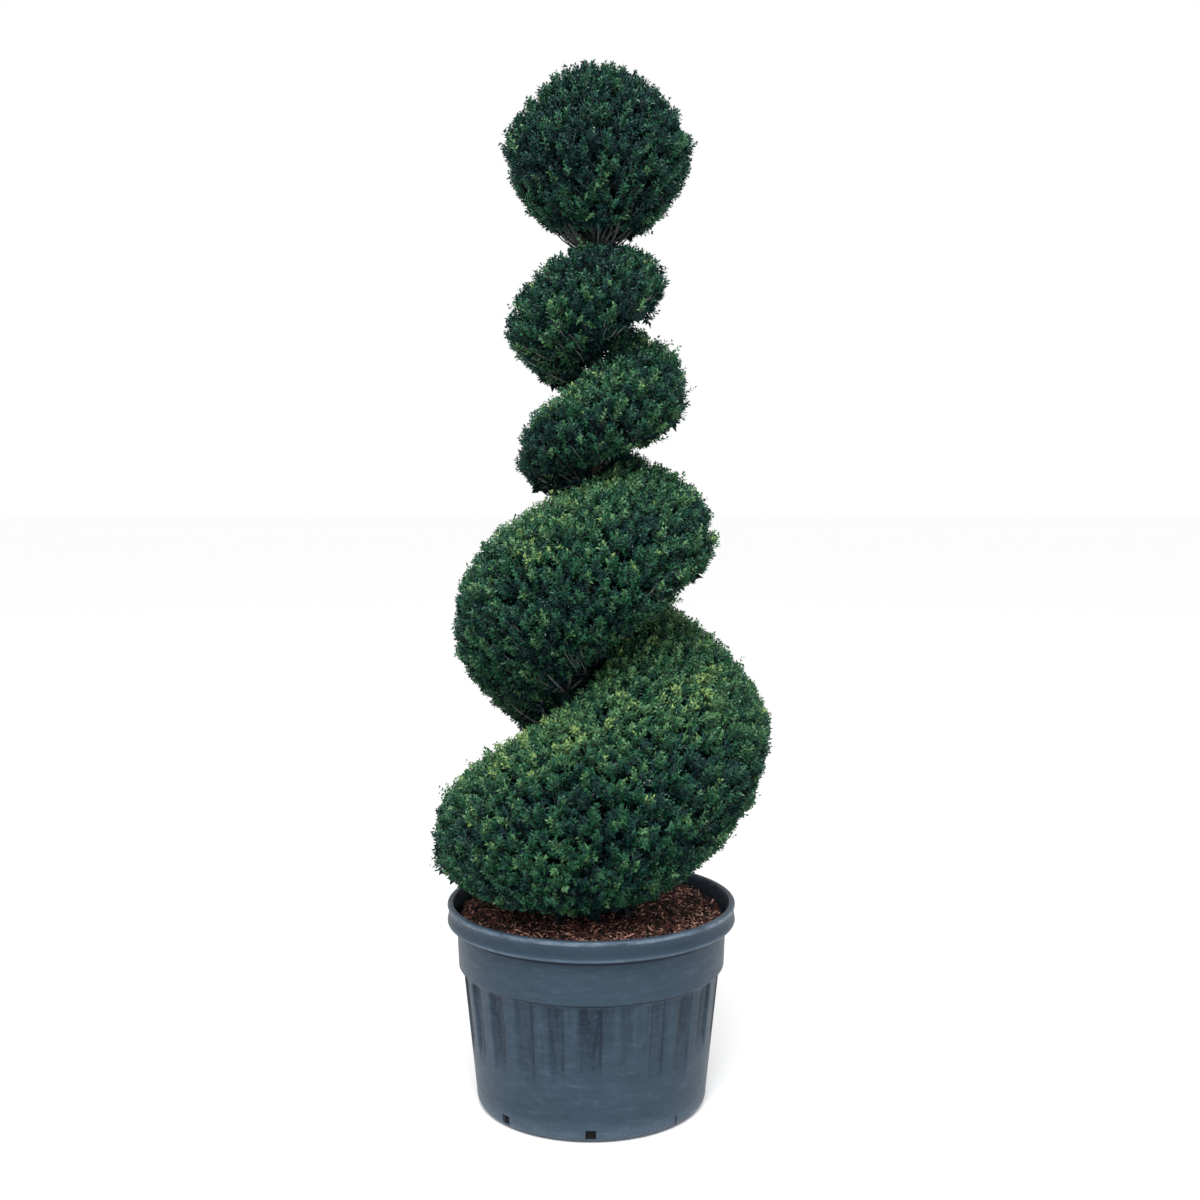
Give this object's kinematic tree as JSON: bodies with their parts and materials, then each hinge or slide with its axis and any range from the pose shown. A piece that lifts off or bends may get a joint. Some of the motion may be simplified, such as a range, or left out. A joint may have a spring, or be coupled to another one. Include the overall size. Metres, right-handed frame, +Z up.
{
  "type": "spiral topiary",
  "caption": "Small-leaved evergreen shrub clipped into a rising spiral under a ball, growing in a round plastic nursery pot with bark mulch on the soil.",
  "frame": {"origin": "centre of the pot's flat underside", "axes": "+Z up the trunk; -Y towards the front, across which each turn of the spiral climbs from left (-X) to right (+X)"},
  "size_m": [0.6102, 0.6111, 1.8371],
  "materials": {
    "pot_plastic": "satin",
    "mulch": "rough",
    "bark": "rough",
    "foliage": "matte"
  },
  "bodies": {
    "root": {"pot": "pot_plastic", "soil": "mulch", "trunk": "bark", "top_stem_1": "bark", "top_stem_2": "bark", "top_stem_3": "bark", "top_stem_4": "bark", "top_stem_5": "bark", "top_stem_6": "bark", "top_stem_7": "bark", "top_stem_8": "bark", "top_stem_9": "bark", "foliage_tail": "foliage", "foliage_turn_1_front": "foliage", "foliage_turn_1_back": "foliage", "foliage_turn_2_front": "foliage", "foliage_turn_2_back": "foliage", "foliage_turn_3_front": "foliage", "foliage_turn_3_back": "foliage", "foliage_turn_4_front": "foliage", "foliage_turn_4_back": "foliage", "foliage_ball": "foliage"}
  },
  "joints": []
}
